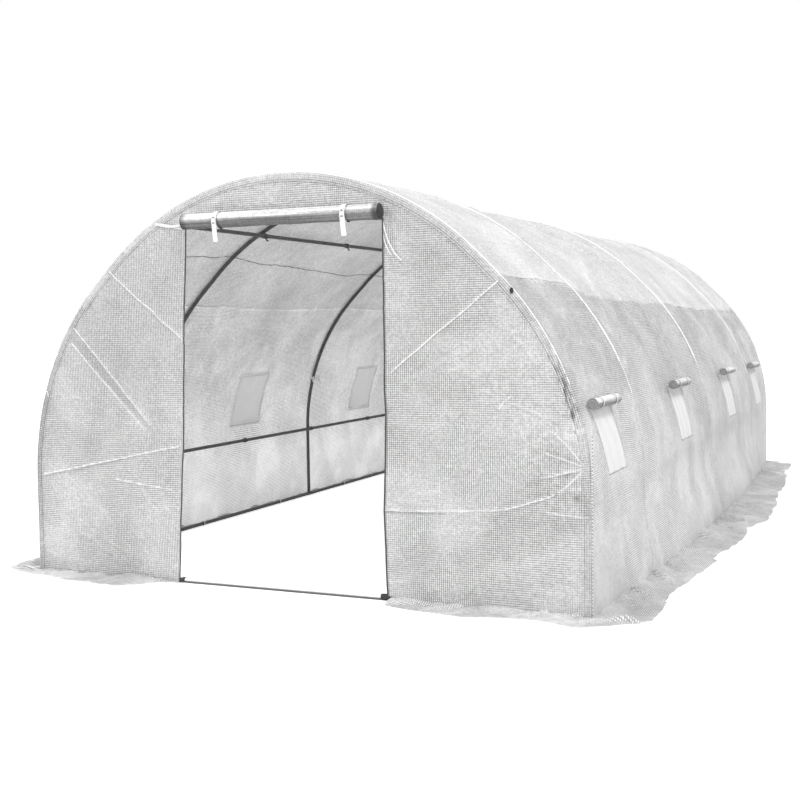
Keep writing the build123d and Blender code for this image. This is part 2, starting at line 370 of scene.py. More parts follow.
FILM = film_material("woven_film", 0.885, 0.42)
ROOF = film_material("roof_film", 0.770, 0.24, scrim=0.50)
LEFT_FILM = film_material("left_film", 0.90, 0.50)
FLAP = film_material("flap_film", 0.90, 0.52, scrim=0.4)
BORDER = film_material("border_film", 0.95, 0.72, scrim=0.05)
# a paler copy of the film that lets no light through: a painted highlight over the hoops, round the end hoops and
# along the front's creases
TIGHT_HIGHLIGHT = film_material("stretched_highlight_film", 0.93, 0.05, scrim=0.10)
ROLLED = film_material("rolled_film", 0.76, 0.05, scrim=0.30)
MESH = plain_material("insect_mesh", 0.80, 0.6, through=0.2, weave=0.003, bump=0.1, vary=0.02)
STEEL = plain_material("coated_steel", 0.088, 0.42, grain=90, vary=0.16)
CAP = plain_material("black_plastic", 0.02)
TAPE = plain_material("white_tape", 0.80, 0.65, weave=0.0025)
PULL = plain_material("pull_tape", 0.98, 0.6, through=0.85, vary=0.02)
# a paler copy of the insect mesh, painted light for the left windows seen from inside
INNER_MESH = plain_material("inner_mesh", 0.92, 0.6, through=0.57, weave=0.003, bump=0.1, vary=0.02)
THREAD = plain_material("dark_thread", 0.10, 0.7)
ZIP = plain_material("dark_zip", 0.05, 0.55)
WHITE = plain_material("white_plastic", 0.85, 0.4)
SEWN = stitched_material("sewn_edge", 0.94, 0.022, 0.25, 0.75)
CORNER = stitched_material("corner_seam", 0.80, 0.016, 0.15, 0.2)


# Camera, floor and light


def place_camera():
    yaw, pitch, roll = 0.4159, 0.0639, -0.0136
    ahead = Vector((-sin(yaw) * cos(pitch), cos(yaw) * cos(pitch), -sin(pitch)))
    right = Vector((cos(yaw), sin(yaw), 0))
    up = right.cross(ahead)
    right, up = cos(roll) * right + sin(roll) * up, -sin(roll) * right + cos(roll) * up
    data = bpy.data.cameras.new("camera")
    data.sensor_width = 36
    data.lens = 53.90
    data.clip_end = 200
    camera = bpy.data.objects.new("camera", data)
    turn = Matrix((right, up, -ahead)).transposed().to_4x4()
    camera.matrix_world = Matrix.Translation((2.8023, -7.9718, 1.2817)) @ turn
    bpy.context.scene.collection.objects.link(camera)
    bpy.context.scene.camera = camera


def place_light():
    """Soft area lights, and a world that is white where it is seen and a little dimmer where it lights."""
    w = Nodes(bpy.data.worlds.new("studio"))
    bpy.context.scene.world = w.owner
    camera = w.add("LightPath", output="Is Camera Ray")
    rays = camera.node.outputs
    seen = w.math("MAXIMUM", camera, w.math("MAXIMUM", rays["Is Glossy Ray"], rays["Is Transmission Ray"]))
    strength = w.add("MapRange", {"Value": seen, "To Min": 0.74, "To Max": 1.0})
    w.finish(w.add("Background", {"Color": (1, 1, 1, 1), "Strength": strength}), "OutputWorld")
    for name, spot, size, power in (
        ("key_light", (12.5, -9.5, 18.0), 5.0, 3550),
        ("fill_light", (-14.0, -15.0, 10.0), 9.0, 1450),
        ("left_light", (-16.0, 7.0, 5.0), 8.0, 900),
    ):
        data = bpy.data.lights.new(name, "AREA")
        data.size = size
        data.energy = power
        lamp = bpy.data.objects.new(name, data)
        lamp.matrix_world = Matrix.Translation(spot) @ Vector(spot).to_track_quat("Z", "Y").to_matrix().to_4x4()
        bpy.context.scene.collection.objects.link(lamp)


def place_floor():
    m = Nodes(bpy.data.materials.new("pale_floor"))
    path = m.add("LightPath", output="Is Camera Ray")
    value = m.spread(m.noise(m.place(), 6.0), 0.3, 0.7, 0.83, 0.85)
    plain = m.add("BsdfDiffuse", {"Color": m.grey(value)})
    white = m.add("Emission", {"Color": (1, 1, 1, 1), "Strength": m.times(path, 0.62)})
    shape = Shape()
    a, b = cross((-40.0, 40.0), (-40.0, 40.0))
    shape.grid(stack(a, b, -0.0005), stack(a, b))
    shape.mesh("floor", m.finish(m.add("AddShader", {0: plain, 1: white})))


place_camera()
place_light()
place_floor()


# Frame of round tubes


def arch(run, inset=0.0):
    """Point and outward normal of the profile at run, moved inwards by inset."""
    foot = RIDGE - np.abs(run)
    side = np.where(np.asarray(run) < 0, -1.0, 1.0)
    turn = np.clip((foot - LEG) / RADIUS, 0, pi / 4) + np.clip((foot - CROWN_START) / RADIUS, 0, pi / 4)
    joint = np.clip(foot - HAUNCH_END, 0, STRAIGHT) * sqrt(0.5)
    nx, nz = side * np.cos(turn), np.sin(turn)
    x = side * (HALF_WIDTH - RADIUS + RADIUS * np.cos(turn) - joint)
    z = np.minimum(foot, LEG) + RADIUS * np.sin(turn) + joint
    return x - inset * nx, z - inset * nz, nx, nz


def hoop_path(run, y):
    x, z, _, _ = arch(run, HOOP_INSET)
    return stack(x, y, z)


def inner_tube(angle):
    """Place across the tunnel of a lengthwise tube inside the crown, at the angle above level."""
    inner = RADIUS - RAIL_INSET
    return inner * cos(radians(angle)), CROWN_Z + inner * sin(radians(angle))


RAIL_X = HALF_WIDTH - RAIL_INSET
UPPER_X, UPPER_Z = inner_tube(61)
RAIL_END, BASE_END = 2.997, 2.9717
LONG_TUBES = {
    "ridge_purlin": (0, CROWN_Z + RADIUS - RAIL_INSET, RAIL_END),
    "upper_purlin_left": (-UPPER_X, UPPER_Z, RAIL_END),
    "upper_purlin_right": (UPPER_X, UPPER_Z, RAIL_END),
    "side_rail_left": (-RAIL_X, LEG, RAIL_END),
    "side_rail_right": (RAIL_X, LEG, RAIL_END),
    "base_rail_left": (-RAIL_X, TUBE, BASE_END),
    "base_rail_right": (RAIL_X, TUBE, BASE_END),
}


def make_frame():
    foot = np.concatenate([[0.0], np.arange(LEG, RIDGE, 0.035)])
    whole = np.concatenate([foot - RIDGE, [0.0], (RIDGE - foot)[::-1]])
    swell = HOOP_TUBE + np.array([0, 0.0005, 0.0009, 0.0009, 0.0009, 0.0005, 0])
    for name, y in HOOPS.items():
        shape = Shape()
        shape.tube(hoop_path(whole, y), HOOP_TUBE, 16)
        # swaged joints where the hoop's lengths of tube meet
        for run in (HAUNCH_END - RIDGE, RIDGE - HAUNCH_END, -0.07, 0.07):
            shape.tube(hoop_path(np.linspace(run - 0.035, run + 0.035, 7), y), swell, 16, ends=False)
        shape.settle(f"{name}_tube", STEEL, "frame_tube", name)
    sleeve = RAIL_TUBE + np.array([0.0002, 0.0012, 0.0012, 0.0002])
    for name, (x, z, reach) in LONG_TUBES.items():
        shape = Shape()
        shape.tube([(x, y, z) for y in np.linspace(-reach, reach, 41)], RAIL_TUBE, 18)
        for y in INNER_HOOPS:
            shape.tube([(x, y + k, z) for k in (-0.06, -0.055, 0.055, 0.06)], sleeve, 18)
        shape.settle(f"{name}_tube", STEEL, "frame_tube", name)
    reach = HALF_WIDTH - HOOP_INSET - TUBE - 0.0003
    for name, y in (("door_sill_rail", -END_HOOP), ("base_rail_back", END_HOOP)):
        shape = Shape()
        shape.tube([(x, y, TUBE) for x in np.linspace(-reach, reach, 31)], TUBE, 18)
        shape.settle(f"{name}_tube", STEEL, "frame_tube", name)


make_frame()


# Cover over the hoops

RIM_RADIUS = 0.0135
RIM_START = HALF_LENGTH - RIM_RADIUS
HEM = 0.030
REACH = RIM_START + RIM_RADIUS * pi / 2 + HEM
SEAM_RUN = RIDGE - SEAM_FOOT
LAP = 0.003
SHEET_INSET = 0.0012
SEAM_TABLE = ((-3.0, -2.0, -1.8, 0.0, 0.2, 1.6, 3.0), (1.595, 1.560, 1.505, 1.467, 1.472, 1.415, 1.430))
INNER_CREASES = (((2.05, -1.440), (1.855, -1.433)), ((1.855, -1.433), (1.62, -1.52)))


def seam_at(run, y):
    """How far up the profile the paler roof film begins, which sags and rises along the right side."""
    return np.where(run > 0, np.interp(y, SEAM_TABLE[0], SEAM_TABLE[1]), SEAM_FOOT)


def bay_of(y):
    """How far into its bay each y is, 0 at the hoops and 1 in the middle, its length, and y from its middle."""
    k = np.clip(np.searchsorted(HOOP_Y, y) - 1, 0, len(HOOP_Y) - 2)
    start, length = HOOP_Y[k], HOOP_Y[k + 1] - HOOP_Y[k]
    t = np.clip((y - start) / length, 0, 1)
    return 4 * t * (1 - t), length, (t - 0.5) * length


def cover_push(run, y):
    """How far the cover stands out from the profile, its tone and how crumpled it is."""
    run, y = np.broadcast_arrays(run, y)
    foot = RIDGE - np.abs(run)
    span, length, off = bay_of(y)
    push = -(0.014 * length - 0.006) * span * smooth(foot, 0.42, 1.0)
    bow = np.clip(1 - (y / HALF_LENGTH) ** 2, 0, 1) ** 0.8 * np.where(run > 0, 1.0, 0.1)
    push = push + (0.085 + 0.012 * span) * bow * (1 - smooth(foot, 0.0, 0.46)) ** 1.3
    tone, crumple = np.ones_like(push), np.full_like(push, 0.3)
    calm = smooth(span, 0.0, 0.25)
    high = smooth(foot, 0.75, 1.3)
    seam = seam_at(run, y)
    below = 1 - smooth(foot, seam - 0.008, seam + 0.008)
    flat_foot = smooth(foot, 0.45, 0.85)
    for s, where in ((1, run >= 0), (41, run < 0)):
        warp = 0.25 * noise(foot * 1.3, y * 1.1, s)
        drape = creases((foot + 0.75 * np.abs(off) + warp) * 5.0, y * 0.55 + 3 * warp, s + 1, 0.20)
        long_fold = creases(foot * 1.4 + warp, (y + 0.25 * foot) * 4.2, s + 2, 0.14)
        crumple_line = creases(foot * 6.5 + warp * 3, y * 6.5, s + 3, 0.14)
        fine = noise(foot * 16, y * 16, s + 4)
        patch = smooth(noise(foot * 1.2, y * 0.9, s + 5), -0.25, 0.45)
        lift = 0.010 * drape * high + (0.005 * long_fold * high + 0.003 * crumple_line * flat_foot)
        # paler on the crests of the folds and creases that stand out, slightly darker between them: painted highlight
        # and shade
        light = 0.07 * (drape - 0.25) * high
        light = light + (0.06 * (crumple_line - 0.22) * flat_foot + 0.04 * (long_fold - 0.2) * high)
        push = push + np.where(where, calm * lift + 0.0008 * fine * flat_foot, 0)
        tone = tone + np.where(where, calm * light, 0)
        crumple = np.where(where, 0.12 + (0.30 * patch + 0.45 * below) * smooth(foot, 0.50, 0.85), crumple)
    # the roof is smooth and pale and the film under the seam thinner and greyer; the foot is paler, painted light from
    # the floor, the cover paler towards the back, painted light, and the left wall darker in its middle, painted shade
    tone = tone + 0.09 * (1 - below) - 0.13 * below * smooth(foot, 0.80, 1.30) * (0.6 + 0.4 * (y < -1.9))
    tone = tone + np.where(run > 0, 0.09, 0.24) * (1 - smooth(foot, 0.35, 0.60)) + 0.09 * smooth(y, 0.0, 2.5)
    tone = tone + 0.12 * bell(foot - seam, 0.006) - 0.12 * (run < 0) * smooth(foot, 0.6, 0.9) * below
    crumple = crumple * (1 - 0.75 * (1 - below) * (y < -2.0) * (run > 0))
    # crumpled film near the back hoop
    rear = smooth(y, 1.9, 2.3) * smooth(foot, 0.7, 1.0) * (run > 0)
    tone = tone + rear * (0.16 * creases(foot * 7, y * 8, 61, 0.14) - 0.13 * creases(foot * 6, y * 9, 62))
    crumple = crumple + 0.5 * rear
    for a, b in INNER_CREASES:
        tone = tone + 0.14 * on_line(foot, y, a, b, 0.009) * (run < 0)
    # a ridge over each hoop, pale with a painted highlight and darker on both sides with painted shade
    shown = smooth(foot, 0.75, 1.0)
    for hoop in INNER_HOOPS:
        off = y - hoop
        light = 0.12 * bell(off, 0.008) - 0.16 * bell(off - 0.030, 0.012) - 0.09 * bell(off + 0.028, 0.010)
        tone = tone + light * shown
        push = push + 0.006 * bell(off, 0.012)
    return push, tone, crumple


def rim(along):
    """The sheets turn round the end hoops: y, how far in from the outer face, and the turn of the normal."""
    past = np.abs(along) - RIM_START
    turn = np.clip(past / RIM_RADIUS, 0, pi / 2)
    down = np.maximum(past - RIM_RADIUS * pi / 2, 0)
    y = np.where(past < 0, np.abs(along), RIM_START + RIM_RADIUS * np.sin(turn))
    return np.sign(along) * y, RIM_RADIUS * (1 - np.cos(turn)) + down, turn, down


def cover_points(run, along, lift=0.0):
    """Places, tone and crumple of the cover, drawn flat round the end hoops."""
    y, inset, turn, down = rim(along)
    x, z, nx, nz = arch(run, inset + SHEET_INSET)
    push, tone, crumple = cover_push(run, y)
    end = smooth(turn, 0.0, 1.2)
    push = push * (1 - end) + 0.0010 * noise(run * 14, along * 40, 91) * end + lift
    out = np.sign(along) * push * np.sin(turn)
    places = stack(x + push * nx * np.cos(turn), y + out, z + push * nz * np.cos(turn))
    places[..., 2] = np.maximum(places[..., 2], 0.0)
    # a painted highlight where it turns over the end hoop, with the hem's stitched edge dark on the face
    foot = RIDGE - np.abs(run)
    corner = (run > 0) & (along < 0)
    fade = np.where(corner, smooth(foot, 0.80, 1.10), 1.0)
    rough = corner * smooth(foot, 0.70, 0.85) * (1 - smooth(foot, 1.10, 1.25))
    tone = tone * (1 - end) + end * (0.98 + 0.05 * noise(run * 9, 3.3, 92))
    tone = tone + 0.28 * bell(turn - 0.60, 0.30) * fade * (turn > 0)
    tone = tone - 0.34 * (0.3 + 0.7 * fade) * bell(down - HEM * 0.78, 0.0032) * (down > 0)
    tone = tone + 0.75 * rough * end * noise(run * 42, along * 110, 93)
    return places, tone, crumple * (1 - end) + (0.25 + 0.75 * rough) * end


def along_lines(extra=()):
    """Grid lines along the tunnel, close together over the hoops and round the rims."""
    marks = list(extra)
    for hoop in INNER_HOOPS:
        marks += [hoop + k for k in (-0.03, -0.02, -0.012, -0.006, 0, 0.006, 0.012, 0.02, 0.03, 0.04)]
    bend = [RIM_START + RIM_RADIUS * a for a in (-1.5, 0, 0.4, 0.8, 1.2, pi / 2)]
    down = [REACH - HEM + HEM * a for a in (0.2, 0.4, 0.6, 0.72, 0.8, 0.88)]
    return lines(-REACH, REACH, 0.018, marks + [end * m for end in (-1, 1) for m in bend + down])


def centres(a):
    """Values at the middles of a grid's faces."""
    return (a[1:, 1:] + a[:-1, :-1]) / 2


def tight_highlight_faces(run, along):
    """True for the faces drawn tight over a hoop or turned over an end hoop, which are pale as a painted highlight and
    let no light through.
    """
    middle_run, middle = centres(run), centres(along)
    foot = RIDGE - np.abs(middle_run)
    taper = smooth(foot, 0.92, 1.25) + 0.25 * noise(foot * 14, middle * 2.0, 97)
    near = np.min(np.abs(middle[..., None] - INNER_HOOPS), -1) < np.where(taper > 0.5, 0.0121, 0.0062)
    past = np.abs(middle) - RIM_START
    turned = (past > 0.38 * RIM_RADIUS) & (past < 0.85 * RIM_RADIUS)
    turned &= (middle_run < 0) | (middle > 0) | (foot > 1.05 + 0.15 * noise(foot * 30, 0.5, 96))
    reach = 0.90 + 0.14 * noise(foot * 25, middle * 3.1, 95)
    return (near & (foot > reach)) | turned


def film_faces(run, along, roof):
    """Material slots of a grid's faces: 0 for its own film, 1 where drawn tight and painted pale as a highlight, 2 for
    the film across the seam.
    """
    above = RIDGE - np.abs(centres(run)) > seam_at(centres(run), centres(along))
    return np.where(tight_highlight_faces(run, along), 1, np.where(above == roof, 0, 2))


def make_roof():
    sewn_lines = [s * (RIDGE - SEWN_FOOT) + k for s in (-1, 1) for k in (-0.010, -0.005, 0.0, 0.005, 0.010)]
    edge = SEAM_RUN + LAP
    run, along = cross(lines(-edge, edge, 0.017, sewn_lines), along_lines())
    places, tone, crumple = cover_points(run, along, 0.0012)
    tone = tone + 0.10 * bell(edge - np.abs(run), 0.006) * (run < 0)
    sewn = RIDGE - np.abs(run) - SEWN_FOOT
    tone = tone - 0.10 * bell(sewn, 0.003) + 0.06 * bell(sewn - 0.008, 0.004)
    shape = Shape()
    shape.grid(places, stack(run, along), tone, None, film_faces(run, along, True), True, crumple)
    roof = shape.settle("roof_cover", (ROOF, TIGHT_HIGHLIGHT, FILM), "cover_film", "roof_sheet")


# how far each window's top leans back, and how far it sits from its place along and up the wall
WINDOW_SKEW = {
    1: ((0.15, -0.060, 0.022), (0.105, 0.030, 0.014), (0.10, 0.0, 0.010), (0.14, 0.0, 0.0)),
    -1: ((-0.035, 0.0, 0.050), (-0.034, -0.040, 0.060), (-0.035, -0.090, 0.040), (-0.035, 0.0, 0.040)),
}


def skew_at(y, z, side, index):
    """Where a place of an upright window comes to lie."""
    lean, shift, rise = WINDOW_SKEW[side][index]
    return y + shift - lean * (z - (SILL + HEAD) / 2) / (HEAD - SILL), z + rise


def lean_windows(places, side):
    """Film round each window hangs askew, so that the holes lean."""
    y, z = places[..., 1].copy(), places[..., 2].copy()
    for index, middle in enumerate(WINDOWS):
        near = 1 - smooth(np.abs(y - middle), WINDOW_HALF, WINDOW_HALF + 0.17)
        near = near * (1 - smooth(np.abs(z - (SILL + HEAD) / 2), 0.16, 0.34))
        moved_y, moved_z = skew_at(y, z, side, index)
        places[..., 1] += near * (moved_y - y)
        places[..., 2] += near * (moved_z - z)
        places[..., 0] -= side * near * (moved_z - z) * 0.17
    return places


def window_gap(foot, y, middle):
    """Distance outside the edge of a window, negative inside it."""
    gap_foot = np.abs(foot - (SILL_FOOT + HEAD_FOOT) / 2) - (HEAD_FOOT - SILL_FOOT) / 2
    return np.maximum(np.abs(y - middle) - WINDOW_HALF, gap_foot)


def make_side(side, word):
    rows = (0, 0.005, 0.010, 0.016)
    edges = [w + e * (WINDOW_HALF + k) for w in WINDOWS for e in (-1, 1) for k in rows]
    bounds = [SILL_FOOT - k for k in rows] + [HEAD_FOOT + k for k in rows]
    run, along = cross(side * (RIDGE - lines(0.0, SEAM_FOOT, 0.016, bounds)), along_lines(edges))
    foot = RIDGE - np.abs(run)
    places, tone, crumple = cover_points(run, along)
    tone = tone * (1 + 0.10 * (1 - smooth(SEAM_FOOT - foot, 0.0, 0.010)))
    slots = film_faces(run, along, False)
    keep = np.ones(slots.shape, bool)
    for middle in WINDOWS:
        gap = window_gap(foot, along, middle)
        tone = tone - (0.30 if side > 0 else 0.0) * bell(gap - 0.005, 0.005) + 0.08 * bell(gap - 0.016, 0.006)
        gap = window_gap(centres(foot), centres(along), middle)
        keep &= gap > 0
        if side < 0:
            slots = np.where((gap > 0) & (gap < 0.0165), 3, slots)
    shape, flat = Shape(), stack(run, along)
    shape.grid(lean_windows(places, side), flat, tone, keep, slots, side < 0, crumple)
    films = (LEFT_FILM if side < 0 else FILM, TIGHT_HIGHLIGHT, ROOF, BORDER)
    sheet = shape.settle(f"side_cover_{word}", films, "cover_film", f"side_sheet_{word}")


make_roof()
for side, word in SIDES:
    make_side(side, word)


# Ends

# each crease of the front: its start and end, width, how far it stands out and how much paler it is, a painted
# highlight on its crest; the negative ones are painted shade beside a crease
FRONT_LINES = (
    ((-0.992, 1.563), (-0.554, 1.212), 0.0042, 0.004, 0.22),
    ((1.080, 1.459), (0.559, 1.057), 0.0042, 0.004, 0.22),
    ((-1.222, 1.284), (-0.763, 0.789), 0.0042, 0.003, 0.22),
    ((-1.238, 1.202), (-0.794, 0.763), 0.0042, 0.003, 0.22),
    ((-1.440, 0.516), (-0.590, 0.689), 0.0042, 0.003, 0.20),
    ((-1.440, 0.505), (-0.940, 0.611), 0.0060, 0.000, -0.22),
    ((-0.985, 0.508), (-0.640, 0.470), 0.0042, 0.003, 0.195),
    ((0.523, 0.424), (0.820, 0.437), 0.0042, 0.003, 0.22),
    ((0.523, 0.414), (0.820, 0.428), 0.0055, 0.000, -0.30),
    ((0.820, 0.437), (1.100, 0.455), 0.0042, 0.003, 0.22),
    ((1.100, 0.455), (1.330, 0.530), 0.0042, 0.004, 0.24),
    ((1.330, 0.530), (1.450, 0.570), 0.0042, 0.003, 0.16),
    ((1.300, 0.455), (1.483, 0.440), 0.0042, 0.003, 0.22),
    ((-0.700, 1.779), (-0.545, 1.756), 0.0042, 0.002, 0.24),
    ((-0.700, 1.769), (-0.545, 1.746), 0.0050, 0.000, -0.15),
    ((-0.540, 1.860), (0.500, 1.824), 0.0060, 0.001, -0.12),
    ((0.600, 1.000), (0.900, 1.150), 0.0042, 0.003, 0.09),
    ((1.000, 0.980), (1.300, 0.860), 0.0042, 0.004, 0.16),
    ((1.130, 0.900), (1.240, 0.700), 0.0042, 0.004, 0.16),
    ((-0.950, 0.620), (-0.700, 0.300), 0.0042, 0.003, 0.11),
    ((-1.350, 0.350), (-0.900, 0.120), 0.0042, 0.003, 0.11),
    ((-1.330, 1.050), (-1.120, 0.760), 0.0042, 0.002, 0.08),
    ((1.460, 0.650), (1.270, 0.600), 0.0045, 0.004, 0.22),
    ((1.460, 0.643), (1.270, 0.591), 0.0045, 0.000, -0.20),
    ((1.462, 0.660), (1.285, 0.715), 0.0045, 0.004, 0.22),
    ((1.462, 0.668), (1.290, 0.726), 0.0045, 0.000, -0.18),
    ((1.465, 0.665), (1.340, 0.800), 0.0045, 0.004, 0.20),
    ((1.462, 0.640), (1.350, 0.540), 0.0045, 0.004, 0.20),
    ((1.468, 0.640), (1.310, 0.490), 0.0045, 0.003, 0.16),
    ((1.470, 0.670), (1.400, 0.860), 0.0045, 0.003, 0.16),
    ((1.130, 0.955), (1.080, 0.900), 0.0050, 0.003, 0.20),
    ((1.085, 0.905), (1.180, 0.930), 0.0050, 0.003, 0.18),
    ((0.130, 1.985), (0.200, 1.870), 0.0050, 0.002, 0.14),
)
# marks on the front: their place, size and how much darker they are
SPOTS = ((-1.127, 1.405, 0.030, 0.25), (1.432, 0.520, 0.016, 0.45), (1.150, 1.375, 0.022, 0.22))
LEFT_EDGE = ((0.0, -0.612), (0.27, -0.593), (0.68, -0.568), (1.31, -0.545), (1.77, -0.520), (2.0, -0.520))
RIGHT_EDGE = ((0.0, 0.535), (0.42, 0.520), (0.60, 0.528), (0.86, 0.533), (1.25, 0.532), (1.77, 0.532), (2.0, 0.532))


def front_push(x, z):
    """How far the front cover bellies out, its tone and how crumpled it is."""
    x, z = np.broadcast_arrays(x, z)
    warp = 0.2 * noise(x * 1.7, z * 1.7, 201)
    crumple_line = creases(x * 7 + 2 * warp, z * 7, 202)
    broad = noise(x * 3 + warp, z * 2.2, 203)
    fine = noise(x * 18, z * 18, 204)
    corner = bell(x - 1.42, 0.20) * bell(z - 0.68, 0.26)
    star = creases(x * 15 + 3 * warp, z * 15, 207) * corner
    patch = smooth(noise(x * 2.1, z * 2.1, 208), -0.3, 0.5)
    push = 0.003 * broad + 0.0022 * crumple_line + 0.0007 * fine + 0.004 + 0.004 * star
    # the tone follows the bulges and creases, paler where they stand out: painted highlight
    tone = 1 + 0.025 * broad + 0.035 * (crumple_line - 0.2) + 0.22 * (star - 0.2 * corner)
    wander = 0.006 * noise(x * 9, z * 9, 205)
    # creases paler where they stand out, painted highlight, with painted shade lines beside some
    for start, end, width, lift, light in FRONT_LINES:
        line = on_line(x + wander, z + wander, start, end, width)
        push = push + lift * line
        tone = tone + light * line
    # the band between two creases on the left is greyer
    above = (x + 1.238) * 0.703 + (z - 1.202) * 0.711
    under = -(x + 1.222) * 0.733 - (z - 1.284) * 0.680
    tone = tone - 0.15 * smooth(above, 0.0, 0.008) * smooth(under, 0.0, 0.008) * (z < 1.27) * (z > 0.78)
    # under the lower crease the film is greyer on the right, with a paler band slanting up through it
    low = smooth(0.425 + 0.028 * (x - 0.5) - z, 0.0, 0.012) * (x > 0)
    tone = tone + low * (0.08 * bell(z - 0.02 - 0.30 * (x - 0.5), 0.05) - 0.055)
    for spot_x, spot_z, size, dark in SPOTS:
        tone = tone - dark * bell(np.hypot(x - spot_x, z - spot_z), size)
    return push, tone, 0.14 + 0.30 * patch + 0.6 * corner


def door_edge(z, side):
    """Place across of the doorway's edge at height z."""
    table = np.array(LEFT_EDGE if side < 0 else RIGHT_EDGE).T
    return np.interp(z, *table) + 0.003 * noise(z * 7, 0.5, 211 + side)


def inside_arch(x, z, inset):
    """True inside the profile moved in by inset."""
    x, radius = np.abs(x), RADIUS - inset
    lean, rise = x - (HALF_WIDTH - RADIUS), z - LEG
    leg = (z < LEG) & (x < HALF_WIDTH - inset)
    haunch = (z >= LEG) & (rise < lean) & (np.hypot(lean, rise) < radius)
    crown = (z - CROWN_Z > x) & (np.hypot(x, z - CROWN_Z) < radius)
    joint = (z >= LEG) & (rise >= lean) & (z - CROWN_Z <= x) & ((lean + rise) * sqrt(0.5) < radius)
    return leg | haunch | crown | joint


def end_cover(name, node, x, z, face, area, flip=False, paler=0.0, shade=1.0):
    """A flat end cover in the plane y = face, cut to the profile."""
    if face < 0:
        push, tone, crumple = front_push(x, z)
    else:
        line = creases(x * 6, z * 6, 232, 0.14)
        push, tone, crumple = 0.004 * noise(x * 3, z * 2.4, 231) + 0.002 * line, 1 + 0.04 * line, 0.4
    fade = np.ones_like(push)
    for k in range(1, 8):
        fade = fade * np.where(inside_arch(x, z, 0.012 * k), 1.0, 0.72)
    places = stack(x, face + np.sign(face) * (push * fade - 0.0032), z)
    shape, keep = Shape(), inside_arch(centres(x), centres(z), 0.010)
    shape.grid(places, stack(x, z), (tone + paler) * shade, keep, 0, flip, crumple)
    cover = shape.settle(name, FILM, "cover_film", node)


def profile_area(low, high, floor=0.0):
    """Area of an end between low and high across, above the floor."""
    x = np.linspace(low, high, 400)
    px, pz, _, _ = arch(np.linspace(-RIDGE, RIDGE, 4000))
    height = np.interp(-np.abs(x), px[px <= 0], pz[px <= 0])
    return float(np.mean(height - floor) * (high - low))


def make_ends():
    step, side_area = 0.0065, profile_area(DOOR_HALF, HALF_WIDTH)
    for side, word in SIDES:
        t, z = cross(lines(0.0, 1.0, step / 0.95), lines(0.0, 1.86, step))
        edge = door_edge(z, side)
        x = edge + t * (side * (HALF_WIDTH - 0.002) - edge)
        paler = 0.08 * bell(np.abs(x - edge) - 0.016, 0.005)
        shade = (0.96 if side < 0 else 0.98) * (1 - 0.04 * smooth(z, 0.9, 1.3))
        shade = shade * (1 + 0.05 * (1 - smooth(z, 0.2, 0.6)))
        end_cover(f"front_cover_{word}", f"front_panel_{word}", x, z, -HALF_LENGTH, side_area,
                  side < 0, paler, shade)
    x, z = cross(lines(-0.56, 0.56, step), lines(1.765, 2.0, step))
    top_area = profile_area(-DOOR_HALF, DOOR_HALF, DOOR_TOP)
    end_cover("front_cover_top", "front_lunette", x, z, -HALF_LENGTH, top_area, shade=0.98)
    x, z = cross(lines(-1.497, 1.497, 0.016), lines(0.0, 2.0, 0.016))
    end_cover("back_cover", "back_panel", x, z, HALF_LENGTH, profile_area(-1.5, 1.5), True)


make_ends()


# Door roll


def round_axis(axis, along, centre, wide, high, angle):
    """Places round a roll's axis: wide and high are the two radii."""
    places = np.zeros(angle.shape + (3,))
    places[..., axis] = along
    places[..., 1 - axis] = centre[1 - axis] + wide * np.cos(angle)
    places[..., 2] = centre[2] + high * np.sin(angle)
    return places


def make_roll(name, node, centre, axis, ends, outer, turns, seed, start, out, squeeze, painted_shade_ends=False):
    """A rolled sheet: axis is 0 for a roll along x and 1 for one along y; out is the outward direction.

    ends are its two ends along the axis, squeeze the places where ties draw it in.
    """
    low, high = ends
    angle = np.arange(0, turns * 2 * pi, 0.15)
    inner = outer * 0.14
    radius = inner + (outer - 0.001 - inner) * angle / (turns * 2 * pi)
    angle = angle + start
    length = np.concatenate([[0], np.cumsum(np.hypot(np.diff(radius), radius[1:] * np.diff(angle)))])
    along = lines(low, high, 0.018)
    a, w = cross(angle, along)
    r, f = cross(radius, along)[0], cross(length, along)[0]
    wobble = 1 + 0.035 * noise(w * 9, a * 0.7, seed) + 0.02 * noise(w * 30, a * 2.2, seed + 1)
    for place in squeeze:
        wobble = wobble - 0.05 * bell(w - place, 0.018)
    r = r * np.minimum(wobble, 1.0)
    off = w - (low + high) / 2
    w = w + 0.0015 * noise(f * 9, 0.3, seed + 2) * np.where(off > 0, 1, -1) * (np.abs(off) > 0.45 * (high - low))
    streak = 0.17 * noise(w * 2.2, a * 6, seed + 3) + 0.13 * noise(w * 5, a * 15, seed + 4)
    # painted shade: the roll is darker towards its underside, and its inner turns darker still
    tone = (1.0 + 2.2 * streak) * (0.26 + 0.90 * smooth(np.sin(a), -0.35, 0.65)) * np.where(r < outer * 0.8, 0.6, 1.0)
    # painted shade towards the door roll's ends
    if painted_shade_ends:
        tone = tone * (1 - 0.72 * smooth(w, high - 0.026, high - 0.020))
        tone = tone * (1 - 0.75 * smooth(-w, -low - 0.022, -low - 0.014))
    shape = Shape()
    shape.grid(round_axis(axis, w, centre, out * r, r, a), stack(w, f), tone)
    # the turns of film seen at the ends, with painted shade: dark grey discs with rings, near black on the door roll
    for end, face in ((low, -1), (high, 1)):
        r, t = cross(np.linspace(0, outer * 0.93, 17), np.linspace(0, 2 * pi, 33))
        disc = round_axis(axis, end + face * (0.0030 - 0.0015 * (r / outer) ** 2), centre, out * r, r, t)
        rings = 1 + 0.35 * np.cos(8 * pi * r / (outer * 0.88) + t)
        shape.grid(disc, stack(r, t * 0.01), (0.045 if painted_shade_ends else 0.42) * rings)
    roll = shape.settle(name, ROLLED, "cover_film", node)


